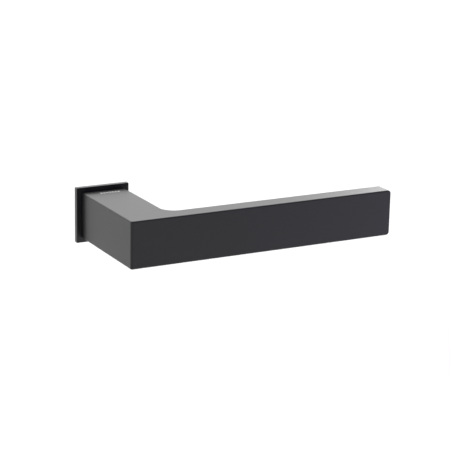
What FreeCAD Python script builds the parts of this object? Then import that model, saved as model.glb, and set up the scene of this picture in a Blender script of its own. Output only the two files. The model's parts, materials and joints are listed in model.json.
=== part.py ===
import FreeCAD, Part
import PartDesign
import Sketcher
import math
import os

# Door lever handle, one half-set: a slim square rose and a square-section lever.
# Frame, in millimetres: +X along the lever, +Y into the door, +Z up. The origin is where the
# spindle's axis meets the door's face, so the rose and the lever lie at negative Y.

DIMENSIONS = {
    # how far a cutting outline runs past the faces that it cuts
    "overrun": 1.0,
    # rose cover, a square cap on the door
    "rose_size": 30.0,
    "rose_depth": 3.0,
    "rose_wall": 1.0,
    "rose_hole_radius": 8.6,
    "rose_edge_radius": 0.3,
    # under-rose: a square flange and a round spring housing let into the door
    "plate_size": 27.6,
    "gasket_thickness": 0.4,
    "gasket_bore": 11.9,
    "housing_radius": 11.0,
    "housing_bore": 10.2,
    "housing_depth": 9.0,
    "housing_floor": 1.4,
    "tab_slot_play": 1.0,
    # bearing bush, inside and outside
    "bush_radius": 8.2,
    "bush_bore": 7.05,
    "bush_proud": 0.25,
    "bush_flange_radius": 9.6,
    "bush_flange_thickness": 0.8,
    "bush_relief": 0.1,
    # fixings in the flange's corners
    "corner_offset": 9.8,
    "screw_head_radius": 2.75,
    "screw_neck_radius": 1.1,
    "screw_thread_radius": 1.5,
    "screw_thread_start": 0.3,
    "screw_point": 3.0,
    "screw_length": 12.0,
    "screw_clearance": 0.1,
    "recess_reach": 1.5,
    "recess_half_width": 0.35,
    "recess_depth": 1.0,
    "screw_sink": 0.1,
    "magnet_radius": 2.0,
    "magnet_thickness": 1.2,
    # lever: square neck and flat bar in one casting
    "neck_width": 24.5,
    "lever_height": 25.0,
    "lever_length": 153.5,
    "lever_projection": 65.0,
    "bar_thickness": 10.5,
    "neck_gap": 0.4,
    "inner_radius": 7.5,
    "tip_radius": 1.9,
    "front_corner_radius": 1.2,
    "lever_edge_radius": 0.7,
    # turned steel sleeve pressed into the neck
    "sleeve_radius": 8.5,
    "sleeve_length": 34.6,
    "sleeve_fit": 0.03,
    "sleeve_end_gap": 0.4,
    "journal_radius": 7.0,
    "journal_end": 11.2,
    "journal_flat": 5.9,
    "square_hole": 8.1,
    "square_hole_depth": 44.0,
    "key_pin_radius": 1.25,
    "key_pin_length": 8.0,
    "key_pin_play": 0.2,
    "key_pin_sink": 0.1,
    "key_pin_fit": 0.02,
    # spindle and the screw that clamps it
    "spindle_size": 8.0,
    "spindle_length": 54.0,
    "spindle_reach": 22.0,
    "spindle_chamfer": 0.8,
    "grub_radius": 3.0,
    "grub_length": 8.0,
    "grub_distance": 16.0,
    "grub_play": 0.05,
    "grub_chamfer": 0.5,
    "grub_socket_radius": 1.73,
    "grub_socket_depth": 3.5,
    "leaf_width": 1.8,
    "leaf_length": 16.0,
    "leaf_thickness": 0.3,
    "leaf_bow": 0.35,
    "leaf_groove": 0.7,
    "leaf_end_play": 0.2,
    "leaf_side_play": 0.1,
    # spring cassette
    "driver_front": 2.3,
    "driver_thickness": 1.6,
    "driver_radius": 9.9,
    "driver_fit": 0.03,
    "driver_bridge_half": 5.0,
    "driver_bridge_overlap": 0.5,
    "notch_radius": 8.1,
    "stop_circle": 9.1,
    "stop_radius": 0.8,
    "stop_sink": 0.2,
    "lever_travel": 45.0,
    "stop_clearance": 0.4,
    "leg_pin_circle": 9.25,
    "leg_pin_radius": 0.6,
    "driver_pin_length": 3.2,
    "anchor_pin_length": 2.8,
    "coil_radius": 8.1,
    "wire_radius": 0.45,
    "coil_pitch": 1.05,
    "coil_start": 4.45,
    "leg_end": 9.8,
    "cap_thickness": 0.8,
    "cap_clearance": 0.05,
    "cap_hole_radius": 7.4,
    "cap_tab_angle": 24.0,
    "cap_first_tab": 30.0,
    # stack behind the cap
    "washer_bore": 7.1,
    "washer_radius": 9.2,
    "washer_thickness": 0.4,
    "washer_gap": 0.05,
    "disc_inset": 0.3,
    "disc_thickness": 0.25,
    "disc_rise": 0.18,
    "ring_groove": 9.9,
    "ring_thickness": 0.8,
    "ring_fit": 0.05,
    "ring_bore": 6.4,
    "ring_radius": 8.4,
    "ring_gap_angle": 50.0,
    "ring_eye_radius": 0.55,
    "ring_eye_angle": 9.0,
}

# Places of faces along the spindle's axis, worked out from the sheet's cells.
DOOR_FACE = "0"
ROSE_FRONT = "-Dims.rose_depth"
PLATE_FRONT = "(Dims.rose_wall - Dims.rose_depth)"
PLATE_BACK = "-Dims.gasket_thickness"
NECK_BACK = "(-Dims.rose_depth - Dims.neck_gap)"
LEVER_FRONT = "-Dims.lever_projection"
BAR_BACK = "(Dims.bar_thickness - Dims.lever_projection)"
LEVER_TIP = "(Dims.lever_length - Dims.neck_width / 2)"
DRIVER_BACK = "(Dims.driver_front + Dims.driver_thickness)"
CAP_FRONT = "(Dims.housing_depth - Dims.cap_thickness)"
WASHER_FRONT = "(Dims.housing_depth + Dims.washer_gap)"
WASHER_BACK = "(Dims.housing_depth + Dims.washer_gap + Dims.washer_thickness)"
SCREW_HOLE = "(Dims.screw_thread_radius + Dims.screw_clearance)"

ACROSS_AXIS = -1
UP_AXIS = -2
GUESS_RADIUS = 10.0
GUESS_TURN = 0.3
NEAR = 1e-4

HEXAGON_SIDES = 6
HEXAGON_TURN = 15

# Each bend of the leaf spring: its share of the strip's length from the middle, and of the bow.
LEAF_BENDS = ((-0.5, 0), (-0.3, 0), (-0.12, 1), (0.12, 1), (0.3, 0), (0.5, 0))


def fill_sheet(doc):
    """Write the driving dimensions into a spreadsheet, one alias for each."""
    sheet = doc.addObject("Spreadsheet::Sheet", "Dims")
    for row, (alias, value) in enumerate(DIMENSIONS.items(), start=1):
        sheet.set(f"A{row}", alias)
        sheet.set(f"B{row}", str(value))
        sheet.setAlias(f"B{row}", alias)
    doc.recompute()


def new_body(doc, label):
    """Add an empty body whose label names its piece."""
    body = doc.addObject("PartDesign::Body", label)
    body.Label = label
    return body


def origin_feature(body, role):
    """Find one of the body's own planes or axes."""
    return next(item for item in body.Origin.OriginFeatures if item.Role == role)


def new_sketch(body, plane, at=("0", "0", "0"), turn="0"):
    """Attach a sketch to an origin plane, moved in the plane's own axes and turned about its up."""
    count = len([item for item in body.Group if item.isDerivedFrom("Sketcher::SketchObject")])
    sketch = body.newObject("Sketcher::SketchObject", f"{body.Name}_sketch_{count + 1}")
    sketch.AttachmentSupport = [(origin_feature(body, plane), "")]
    sketch.MapMode = "FlatFace"
    if turn != "0":
        spin = FreeCAD.Rotation(FreeCAD.Vector(0, 1, 0), 1)
        sketch.AttachmentOffset = FreeCAD.Placement(FreeCAD.Vector(), spin)
        sketch.setExpression("AttachmentOffset.Rotation.Angle", turn)
    for axis, place in zip("xyz", at):
        if place != "0":
            sketch.setExpression(f"AttachmentOffset.Base.{axis}", place)
    return sketch


def bind_point(sketch, edge, end, place, guess):
    """Hold a point at two coordinates, each zero or an expression."""
    directions = (("DistanceX", UP_AXIS, place[0], guess.x), ("DistanceY", ACROSS_AXIS, place[1], guess.y))
    for kind, axis, expression, start in directions:
        if expression == "0":
            sketch.addConstraint(Sketcher.Constraint("PointOnObject", edge, end, axis))
        else:
            index = sketch.addConstraint(Sketcher.Constraint(kind, -1, 1, edge, end, start))
            sketch.setExpression(f"Constraints[{index}]", expression)


def outline(sketch, corners):
    """Draw a closed outline of straight edges through corners given as expressions."""
    first = sketch.GeometryCount
    count = len(corners)
    turns = [GUESS_TURN + 2 * math.pi * step / count for step in range(count)]
    guesses = [FreeCAD.Vector(math.cos(a), math.sin(a), 0) * GUESS_RADIUS for a in turns]
    for step in range(count):
        sketch.addGeometry(Part.LineSegment(guesses[step], guesses[(step + 1) % count]), False)
    for step in range(count):
        following = first + (step + 1) % count
        sketch.addConstraint(Sketcher.Constraint("Coincident", first + step, 2, following, 1))
    for step, corner in enumerate(corners):
        bind_point(sketch, first + step, 1, corner, guesses[step])


def circle(sketch, radius, centre=("0", "0")):
    """Draw a circle of a bound radius about a bound centre."""
    guess = FreeCAD.Vector(1, 1, 0)
    edge = sketch.addGeometry(Part.Circle(guess, FreeCAD.Vector(0, 0, 1), 1.0), False)
    bind_point(sketch, edge, 3, centre, guess)
    index = sketch.addConstraint(Sketcher.Constraint("Radius", edge, 1.0))
    sketch.setExpression(f"Constraints[{index}]", radius)


def rectangle(sketch, left, low, right, high):
    """Draw a rectangle between bound sides."""
    outline(sketch, [(left, low), (right, low), (right, high), (left, high)])


def centred_square(sketch, size):
    """Draw a square of a bound size about the sketch's origin."""
    half = f"{size} / 2"
    rectangle(sketch, f"-{half}", f"-{half}", half, half)


def polygon(sketch, radius, sides, turn):
    """Draw a regular polygon, turned so that no corner lies on an axis."""
    angles = [turn + 360 * step / sides for step in range(sides)]
    outline(sketch, [(f"{radius} * cos({a})", f"{radius} * sin({a})") for a in angles])


def extrude(sketch, length):
    """Pad a sketch along its normal."""
    body = sketch.getParentGeoFeatureGroup()
    pad = body.newObject("PartDesign::Pad", f"{sketch.Name}_pad")
    pad.Profile = sketch
    pad.setExpression("Length", length)
    return pad


def checked_cut(body, feature):
    """Recompute a cut, and stop if it took nothing away."""
    before = feature.BaseFeature.Shape.Volume
    body.Document.recompute()
    if feature.Shape.Volume > before - NEAR:
        raise RuntimeError(f"{feature.Name} cuts nothing")
    return feature


def cut(sketch, length):
    """Pocket a sketch along its normal."""
    body = sketch.getParentGeoFeatureGroup()
    body.Document.recompute()
    pocket = body.newObject("PartDesign::Pocket", f"{sketch.Name}_pocket")
    pocket.Profile = sketch
    pocket.Reversed = True
    pocket.setExpression("Length", length)
    return checked_cut(body, pocket)


def revolve(sketch):
    """Revolve a sketch a full turn about its own up axis."""
    body = sketch.getParentGeoFeatureGroup()
    turned = body.newObject("PartDesign::Revolution", f"{sketch.Name}_revolution")
    turned.Profile = sketch
    turned.ReferenceAxis = (sketch, ["V_Axis"])
    turned.Angle = 360.0
    return turned


def groove(sketch, angle):
    """Cut a sketch's section round its own up axis, by half the angle to each side."""
    body = sketch.getParentGeoFeatureGroup()
    body.Document.recompute()
    turned = body.newObject("PartDesign::Groove", f"{sketch.Name}_groove")
    turned.Profile = sketch
    turned.ReferenceAxis = (sketch, ["V_Axis"])
    turned.Midplane = True
    turned.setExpression("Angle", angle)
    return checked_cut(body, turned)


def repeat_round(body, features, count):
    """Repeat features evenly about the spindle's axis."""
    body.Document.recompute()
    pattern = body.newObject("PartDesign::PolarPattern", f"{body.Name}_pattern_{len(body.Group)}")
    pattern.Originals = features
    pattern.Axis = (origin_feature(body, "Y_Axis"), [""])
    pattern.Angle = 360.0
    pattern.Occurrences = count
    body.Tip = pattern
    return pattern


def round_edges(body, wanted, radius, kind="Fillet"):
    """Fillet or chamfer the edges of the body that pass a test."""
    body.Document.recompute()
    base = body.Tip
    names = [f"Edge{n}" for n, edge in enumerate(base.Shape.Edges, start=1) if wanted(edge)]
    feature = body.newObject(f"PartDesign::{kind}", f"{body.Name}_{kind.lower()}_{len(body.Group)}")
    feature.Base = (base, names)
    feature.setExpression("Radius" if kind == "Fillet" else "Size", radius)
    body.Document.recompute()
    return feature


def along(edge, axis):
    """Say whether a straight edge runs along the X, Y or Z axis."""
    if not isinstance(edge.Curve, Part.Line):
        return False
    return abs(abs(edge.Curve.Direction["XYZ".index(axis)]) - 1) < NEAR


def facing(axis_at):
    """Make a test for edges that lie in the plane where one coordinate has a value."""
    axis, value = axis_at
    low, high = f"{axis}Min", f"{axis}Max"

    def test(edge):
        box = edge.BoundBox
        return abs(getattr(box, low) - value) < NEAR and abs(getattr(box, high) - value) < NEAR

    return test


def turned_piece(doc, label, profile):
    """Make a piece by revolving an outline of radius and place about the spindle's axis."""
    body = new_body(doc, label)
    sketch = new_sketch(body, "XY_Plane")
    outline(sketch, profile)
    revolve(sketch)
    return body


def washer_profile(bore, radius, front, back):
    """Give the section of a flat ring."""
    return [(bore, front), (radius, front), (radius, back), (bore, back)]


def face_sketch(body, place):
    """Attach a sketch facing the room at a place along the spindle's axis; it extrudes to -Y."""
    return new_sketch(body, "XZ_Plane", at=("0", "0", f"-({place})"))


def rose_cover(doc):
    """Pressed square cap with a round hole for the bush."""
    body = new_body(doc, "rose_cover")
    sketch = face_sketch(body, DOOR_FACE)
    centred_square(sketch, "Dims.rose_size")
    extrude(sketch, "Dims.rose_depth")
    half = DIMENSIONS["rose_size"] / 2
    front = -DIMENSIONS["rose_depth"]

    def outer(edge):
        centre = edge.CenterOfMass
        corner = along(edge, "Y") and abs(centre.x) > half - NEAR
        return corner or facing(("Y", front))(edge)

    round_edges(body, outer, "Dims.rose_edge_radius")
    inside = face_sketch(body, DOOR_FACE)
    centred_square(inside, "(Dims.rose_size - 2 * Dims.rose_wall)")
    cut(inside, "Dims.rose_depth - Dims.rose_wall")
    hole = face_sketch(body, DOOR_FACE)
    circle(hole, "Dims.rose_hole_radius")
    cut(hole, "Dims.rose_depth")
    return body


def corner_place(sign):
    """Give the corner of the flange, on one diagonal or the other, in an XZ sketch."""
    return ("Dims.corner_offset", f"{sign} * Dims.corner_offset")


def mounting_plate(doc):
    """Die-cast under-rose: flange, spring housing, and seats for screws, magnets and pins."""
    body = new_body(doc, "mounting_plate")
    flange = face_sketch(body, PLATE_BACK)
    centred_square(flange, "Dims.plate_size")
    extrude(flange, f"{PLATE_BACK} - {PLATE_FRONT}")
    housing = face_sketch(body, "Dims.housing_depth")
    circle(housing, "Dims.housing_radius")
    extrude(housing, f"Dims.housing_depth - ({PLATE_BACK})")
    cavity = face_sketch(body, "Dims.housing_depth")
    circle(cavity, "Dims.housing_bore")
    cut(cavity, "Dims.housing_depth - Dims.housing_floor")
    bore = face_sketch(body, "Dims.housing_floor")
    circle(bore, "Dims.bush_radius")
    cut(bore, f"Dims.housing_floor - {PLATE_FRONT}")
    stop = face_sketch(body, "Dims.housing_floor")
    circle(stop, "Dims.stop_radius", ("0", "Dims.stop_circle"))
    stop_hole = cut(stop, f"Dims.housing_floor - {PLATE_FRONT}")
    repeat_round(body, [stop_hole], 2)

    screw = new_sketch(body, "XY_Plane", at=("Dims.corner_offset", "0", "Dims.corner_offset"))
    seat = f"{PLATE_FRONT} + Dims.screw_sink"
    hole, head = SCREW_HOLE, "Dims.screw_head_radius"
    cone_end = f"{seat} + {head} - {hole}"
    through = "Dims.screw_thread_start"
    outline(screw, [("0", PLATE_FRONT), (head, PLATE_FRONT), (head, seat), (hole, cone_end), (hole, through),
                    ("0", through)])
    screw_seat = groove(screw, "360")
    repeat_round(body, [screw_seat], 2)

    magnet = face_sketch(body, f"{PLATE_FRONT} + Dims.magnet_thickness")
    circle(magnet, "Dims.magnet_radius", corner_place("-1"))
    magnet_seat = cut(magnet, "Dims.magnet_thickness")
    repeat_round(body, [magnet_seat], 2)

    slot = new_sketch(body, "XY_Plane", turn="Dims.cap_first_tab")
    rectangle(slot, "Dims.housing_bore - Dims.overrun", CAP_FRONT, "Dims.housing_radius + Dims.overrun",
              "Dims.housing_depth + Dims.overrun")
    tab_slot = groove(slot, "Dims.cap_tab_angle + Dims.tab_slot_play")
    repeat_round(body, [tab_slot], 3)
    return body


def bearing_bush(doc):
    """Acetal bush, put in from behind; its front stands proud so the neck never rubs the cover."""
    front = f"{ROSE_FRONT} - Dims.bush_proud"
    floor = "Dims.housing_floor"
    back = "Dims.housing_floor + Dims.bush_flange_thickness"
    bore, sleeve, flange = "Dims.bush_bore", "Dims.bush_radius", "Dims.bush_flange_radius"
    profile = [(bore, front), (sleeve, front), (sleeve, floor), (flange, floor), (flange, back), (bore, back)]
    body = turned_piece(doc, "bearing_bush", profile)
    relief = face_sketch(body, back)
    circle(relief, "Dims.stop_radius + Dims.bush_relief", ("0", "Dims.stop_circle"))
    relief_hole = cut(relief, "Dims.bush_flange_thickness")
    repeat_round(body, [relief_hole], 2)
    return body


def stop_pins(doc):
    """Two dowels in the housing floor that end the lever's travel at both limits."""
    body = new_body(doc, "stop_pins")
    back = f"{DRIVER_BACK} - Dims.stop_sink"
    sketch = face_sketch(body, back)
    circle(sketch, "Dims.stop_radius", ("0", "Dims.stop_circle"))
    pin = extrude(sketch, f"{back} - {PLATE_FRONT}")
    repeat_round(body, [pin], 2)
    return body


def spring_anchor_pin(doc):
    """Pin riveted into the cap that holds the spring's fixed leg."""
    body = new_body(doc, "spring_anchor_pin")
    sketch = face_sketch(body, "Dims.housing_depth")
    circle(sketch, "Dims.leg_pin_radius", ("-Dims.leg_pin_circle", "0"))
    extrude(sketch, "Dims.anchor_pin_length")
    return body


def spring_cap(doc):
    """Pressed lid of the spring housing, held by three tabs in the housing's rim."""
    rim = "Dims.housing_bore - Dims.cap_clearance"
    profile = washer_profile("Dims.cap_hole_radius", rim, CAP_FRONT, "Dims.housing_depth")
    body = turned_piece(doc, "spring_cap", profile)
    tab = new_sketch(body, "XY_Plane", turn="Dims.cap_first_tab")
    rectangle(tab, "Dims.housing_bore - Dims.overrun", CAP_FRONT, "Dims.housing_radius", "Dims.housing_depth")
    body.Document.recompute()
    turned = body.newObject("PartDesign::Revolution", "spring_cap_tab")
    turned.Profile = tab
    turned.ReferenceAxis = (tab, ["V_Axis"])
    turned.Midplane = True
    turned.setExpression("Angle", "Dims.cap_tab_angle")
    repeat_round(body, [turned], 3)
    pin_hole = face_sketch(body, "Dims.housing_depth")
    circle(pin_hole, "Dims.leg_pin_radius", ("-Dims.leg_pin_circle", "0"))
    cut(pin_hole, "Dims.cap_thickness")
    return body


def cover_magnets(doc):
    """Two disc magnets that hold the steel cover."""
    body = new_body(doc, "cover_magnets")
    sketch = face_sketch(body, f"{PLATE_FRONT} + Dims.magnet_thickness")
    circle(sketch, "Dims.magnet_radius", corner_place("-1"))
    magnet = extrude(sketch, "Dims.magnet_thickness")
    repeat_round(body, [magnet], 2)
    return body


def door_gasket(doc):
    """Thin foam seal between the flange and the door."""
    body = new_body(doc, "door_gasket")
    sketch = face_sketch(body, DOOR_FACE)
    centred_square(sketch, "Dims.plate_size")
    extrude(sketch, "Dims.gasket_thickness")
    hole = face_sketch(body, DOOR_FACE)
    circle(hole, "Dims.gasket_bore")
    cut(hole, "Dims.gasket_thickness")
    screw = face_sketch(body, DOOR_FACE)
    circle(screw, SCREW_HOLE, corner_place("1"))
    screw_hole = cut(screw, "Dims.gasket_thickness")
    repeat_round(body, [screw_hole], 2)
    return body


def mounting_screws(doc):
    """Two short countersunk wood screws with a cross recess."""
    body = new_body(doc, "mounting_screws")
    top = f"{PLATE_FRONT} + Dims.screw_sink"
    head, shank, thread = "Dims.screw_head_radius", "Dims.screw_neck_radius", "Dims.screw_thread_radius"
    neck = f"{top} + {head} - {shank}"
    tip = f"{top} + Dims.screw_length"
    start = "Dims.screw_thread_start"
    sketch = new_sketch(body, "XY_Plane", at=("Dims.corner_offset", "0", "Dims.corner_offset"))
    outline(sketch, [("0", top), (head, top), (shank, neck), (shank, start), (thread, start),
                     (thread, f"{tip} - Dims.screw_point"), ("0", tip)])
    screw = revolve(sketch)
    floor = f"-({top} + Dims.recess_depth)"
    recess = new_sketch(body, "XZ_Plane", at=("Dims.corner_offset", "Dims.corner_offset", floor))
    wide, thin = "Dims.recess_reach", "Dims.recess_half_width"
    quarter = [(wide, thin), (thin, thin), (thin, wide)]
    signs = [(1, 1), (-1, 1), (-1, -1), (1, -1)]
    corners = []
    for step, (across, up) in enumerate(signs):
        points = quarter if step % 2 == 0 else quarter[::-1]
        corners += [(f"{across} * {x}", f"{up} * {y}") for x, y in points]
    outline(recess, corners)
    cross = cut(recess, "Dims.recess_depth")
    repeat_round(body, [screw, cross], 2)
    return body


def lever_handle(doc):
    """Neck and bar in one casting, with the sleeve's bore, the key's slot and the grub hole."""
    body = new_body(doc, "lever_handle")
    side = DIMENSIONS["neck_width"] / 2
    back = DIMENSIONS["bar_thickness"] - DIMENSIONS["lever_projection"]
    front = -DIMENSIONS["lever_projection"]
    tip = DIMENSIONS["lever_length"] - side
    neck_back = -DIMENSIONS["rose_depth"] - DIMENSIONS["neck_gap"]

    plan = new_sketch(body, "XY_Plane", at=("0", "0", "-Dims.lever_height / 2"))
    half_neck = "Dims.neck_width / 2"
    outline(plan, [(f"-{half_neck}", NECK_BACK), (f"-{half_neck}", LEVER_FRONT), (LEVER_TIP, LEVER_FRONT),
                   (LEVER_TIP, BAR_BACK), (half_neck, BAR_BACK), (half_neck, NECK_BACK)])
    extrude(plan, "Dims.lever_height")

    def upright(edge, x, y):
        centre = edge.CenterOfMass
        return along(edge, "Z") and abs(centre.x - x) < NEAR and abs(centre.y - y) < NEAR

    def at_tip(edge):
        return along(edge, "Y") and edge.BoundBox.XMin > tip - NEAR

    round_edges(body, lambda edge: upright(edge, side, back), "Dims.inner_radius")
    round_edges(body, lambda edge: upright(edge, -side, front), "Dims.front_corner_radius")
    round_edges(body, at_tip, "Dims.tip_radius")

    def soft(edge):
        box = edge.BoundBox
        if box.YMin > neck_back - NEAR:
            return False
        if along(edge, "Z"):
            return box.XMin > tip - NEAR
        return box.XMax < side + NEAR if along(edge, "Y") else True

    round_edges(body, soft, "Dims.lever_edge_radius")

    bore = face_sketch(body, NECK_BACK)
    circle(bore, "Dims.sleeve_radius + Dims.sleeve_fit")
    cut(bore, "Dims.sleeve_length + Dims.sleeve_end_gap")
    key = face_sketch(body, NECK_BACK)
    circle(key, "Dims.key_pin_radius", ("0", "Dims.sleeve_radius"))
    cut(key, "Dims.key_pin_length + Dims.key_pin_play")
    grub = new_sketch(body, "XY_Plane", at=("0", "-Dims.grub_distance", "-Dims.lever_height / 2"))
    circle(grub, "Dims.grub_radius + Dims.grub_play")
    cut(grub, "Dims.lever_height / 2 - Dims.sleeve_radius + Dims.overrun")
    return body


def spindle_sleeve(doc):
    """Turned steel sleeve: pressed into the neck, it runs in the bush and drives the cam."""
    neck_end = f"{NECK_BACK} - Dims.sleeve_length"
    groove_front, groove_back = "Dims.ring_groove", "Dims.ring_groove + Dims.ring_thickness"
    big, journal, root = "Dims.sleeve_radius", "Dims.journal_radius", "Dims.ring_bore - Dims.ring_fit"
    profile = [("0", neck_end), (big, neck_end), (big, NECK_BACK), (journal, NECK_BACK),
               (journal, groove_front), (root, groove_front), (root, groove_back), (journal, groove_back),
               (journal, "Dims.journal_end"), ("0", "Dims.journal_end")]
    body = turned_piece(doc, "spindle_sleeve", profile)
    square = face_sketch(body, "Dims.journal_end")
    centred_square(square, "Dims.square_hole")
    cut(square, "Dims.square_hole_depth")
    flat = face_sketch(body, "Dims.journal_end")
    rectangle(flat, "-Dims.journal_radius", "Dims.journal_flat", "Dims.journal_radius",
              "Dims.journal_radius + Dims.overrun")
    flat_cut = cut(flat, "Dims.journal_end - Dims.driver_front + Dims.driver_fit")
    repeat_round(body, [flat_cut], 2)
    key = face_sketch(body, NECK_BACK)
    circle(key, "Dims.key_pin_radius", ("0", "Dims.sleeve_radius"))
    cut(key, "Dims.key_pin_length + Dims.key_pin_play")
    grub = new_sketch(body, "XY_Plane", at=("0", "-Dims.grub_distance", "-Dims.sleeve_radius - Dims.overrun"))
    circle(grub, "Dims.grub_radius + Dims.grub_play")
    cut(grub, "Dims.sleeve_radius - Dims.spindle_size / 2 + Dims.overrun")
    return body


def sleeve_key_pin(doc):
    """Dowel half in the sleeve and half in the neck, so that the sleeve can't turn."""
    body = new_body(doc, "sleeve_key_pin")
    sketch = face_sketch(body, f"{NECK_BACK} - Dims.key_pin_sink")
    circle(sketch, "Dims.key_pin_radius - Dims.key_pin_fit", ("0", "Dims.sleeve_radius"))
    extrude(sketch, "Dims.key_pin_length")
    return body


def grub_screw(doc):
    """Socket set screw from below that clamps the spindle."""
    body = new_body(doc, "grub_screw")
    foot = "-(Dims.spindle_size / 2 + Dims.grub_length)"
    shank = new_sketch(body, "XY_Plane", at=("0", "-Dims.grub_distance", foot))
    circle(shank, "Dims.grub_radius")
    extrude(shank, "Dims.grub_length")
    round_edges(body, lambda edge: isinstance(edge.Curve, Part.Circle), "Dims.grub_chamfer", kind="Chamfer")
    socket = new_sketch(body, "XY_Plane", at=("0", "-Dims.grub_distance", foot))
    polygon(socket, "Dims.grub_socket_radius", HEXAGON_SIDES, HEXAGON_TURN)
    cut(socket, "Dims.grub_socket_depth")
    return body


def spindle(doc):
    """Square half spindle with a groove for the anti-rattle spring."""
    body = new_body(doc, "spindle")
    sketch = face_sketch(body, "Dims.spindle_reach")
    centred_square(sketch, "Dims.spindle_size")
    extrude(sketch, "Dims.spindle_length")
    reach = DIMENSIONS["spindle_reach"]
    ends = (reach, reach - DIMENSIONS["spindle_length"])
    round_edges(body, lambda edge: any(facing(("Y", end))(edge) for end in ends), "Dims.spindle_chamfer",
                kind="Chamfer")
    recess = face_sketch(body, "-Dims.grub_distance + Dims.leaf_length / 2 + Dims.leaf_end_play")
    side = "(Dims.leaf_width / 2 + Dims.leaf_side_play)"
    top = "Dims.spindle_size / 2"
    rectangle(recess, f"-{side}", f"{top} - Dims.leaf_groove", side, f"{top} + Dims.overrun")
    cut(recess, "Dims.leaf_length + 2 * Dims.leaf_end_play")
    return body


def spindle_leaf_spring(doc):
    """Bowed strip in the spindle's groove that takes up the play in the square hole."""
    body = new_body(doc, "spindle_leaf_spring")
    sketch = new_sketch(body, "YZ_Plane", at=("0", "0", "-Dims.leaf_width / 2"))
    centre = "-Dims.grub_distance"
    floor = "(Dims.spindle_size / 2 - Dims.leaf_groove)"
    upper = []
    lower = []
    for share, lift in LEAF_BENDS:
        place = f"{centre} + {share} * Dims.leaf_length"
        lower.append((place, f"{floor} + {lift} * Dims.leaf_bow"))
        upper.append((place, f"{floor} + {lift} * Dims.leaf_bow + Dims.leaf_thickness"))
    outline(sketch, lower + upper[::-1])
    extrude(sketch, "Dims.leaf_width")
    return body


def spring_driver(doc):
    """Cam on the journal's flats; its rim notches meet the stop pins."""
    body = new_body(doc, "spring_driver")
    sketch = face_sketch(body, DRIVER_BACK)
    circle(sketch, "Dims.driver_radius")
    extrude(sketch, "Dims.driver_thickness")
    hole = face_sketch(body, DRIVER_BACK)
    circle(hole, "Dims.journal_radius + Dims.driver_fit")
    cut(hole, "Dims.driver_thickness")
    half = "Dims.driver_bridge_half"
    flat = "(Dims.journal_flat + Dims.driver_fit)"
    rim = "(Dims.journal_radius + Dims.driver_bridge_overlap)"
    for low, high in ((flat, rim), (f"-{rim}", f"-{flat}")):
        bridge = face_sketch(body, DRIVER_BACK)
        rectangle(bridge, f"-{half}", low, half, high)
        extrude(bridge, "Dims.driver_thickness")
    half_pin = "asin(Dims.stop_radius / Dims.stop_circle) / 1 deg"
    middle = "-90 - Dims.lever_travel / 2"
    notch = new_sketch(body, "XY_Plane", turn=middle)
    rectangle(notch, "Dims.notch_radius", "Dims.driver_front - Dims.overrun",
              "Dims.driver_radius + Dims.overrun", f"{DRIVER_BACK} + Dims.overrun")
    sweep = f"Dims.lever_travel + 2 * {half_pin} + 2 * Dims.stop_clearance"
    notch_cut = groove(notch, sweep)
    repeat_round(body, [notch_cut], 2)
    pin_hole = face_sketch(body, DRIVER_BACK)
    circle(pin_hole, "Dims.leg_pin_radius", ("Dims.leg_pin_circle", "0"))
    cut(pin_hole, "Dims.driver_thickness")
    return body


def driver_pin(doc):
    """Pin riveted into the cam that carries the spring's moving leg."""
    body = new_body(doc, "driver_pin")
    sketch = face_sketch(body, "Dims.driver_front + Dims.driver_pin_length")
    circle(sketch, "Dims.leg_pin_radius", ("Dims.leg_pin_circle", "0"))
    extrude(sketch, "Dims.driver_pin_length")
    return body


def thrust_washer(doc):
    """Flat washer that slides on the cap."""
    profile = washer_profile("Dims.washer_bore", "Dims.washer_radius", WASHER_FRONT, WASHER_BACK)
    return turned_piece(doc, "thrust_washer", profile)


def disc_spring(doc):
    """Slightly coned washer that takes up the lever's end play."""
    bore, rim = "Dims.washer_bore", "Dims.washer_radius - Dims.disc_inset"
    front = WASHER_BACK
    thick, rise = "Dims.disc_thickness", "Dims.disc_rise"
    profile = [(bore, f"{front} + {rise}"), (rim, front), (rim, f"{front} + {thick}"),
               (bore, f"{front} + {rise} + {thick}")]
    return turned_piece(doc, "disc_spring", profile)


def retaining_ring(doc):
    """Open ring in the journal's groove that holds the lever to the rose."""
    back = "Dims.ring_groove + Dims.ring_thickness"
    profile = washer_profile("Dims.ring_bore", "Dims.ring_radius", "Dims.ring_groove", back)
    body = turned_piece(doc, "retaining_ring", profile)
    gap = new_sketch(body, "XY_Plane", turn="90")
    rectangle(gap, "Dims.ring_bore - Dims.overrun", "Dims.ring_groove - Dims.overrun",
              "Dims.ring_radius + Dims.overrun", f"{back} + Dims.overrun")
    groove(gap, "Dims.ring_gap_angle")
    radius = "(Dims.ring_bore + Dims.ring_radius) / 2"
    for sign in (1, -1):
        angle = "(Dims.ring_gap_angle / 2 + Dims.ring_eye_angle)"
        centre = (f"{sign} * {radius} * sin({angle})", f"-{radius} * cos({angle})")
        eye = face_sketch(body, back)
        circle(eye, "Dims.ring_eye_radius", centre)
        cut(eye, "Dims.ring_thickness")
    return body


def wire_leg(doc, name, angle, place):
    """Make one straight leg of the spring, pointing outwards at an angle about the axis."""
    leg = doc.addObject("Part::Cylinder", name)
    leg.setExpression("Radius", "Dims.wire_radius")
    leg.setExpression("Height", "Dims.leg_end - Dims.coil_radius")
    outward = FreeCAD.Rotation(FreeCAD.Vector(0, 1, 0), angle)
    along_x = FreeCAD.Rotation(FreeCAD.Vector(0, 1, 0), 90)
    radius = DIMENSIONS["coil_radius"]
    start = outward.multVec(FreeCAD.Vector(radius, 0, 0)) + FreeCAD.Vector(0, place, 0)
    leg.Placement = FreeCAD.Placement(start, outward.multiply(along_x))
    return leg


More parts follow.
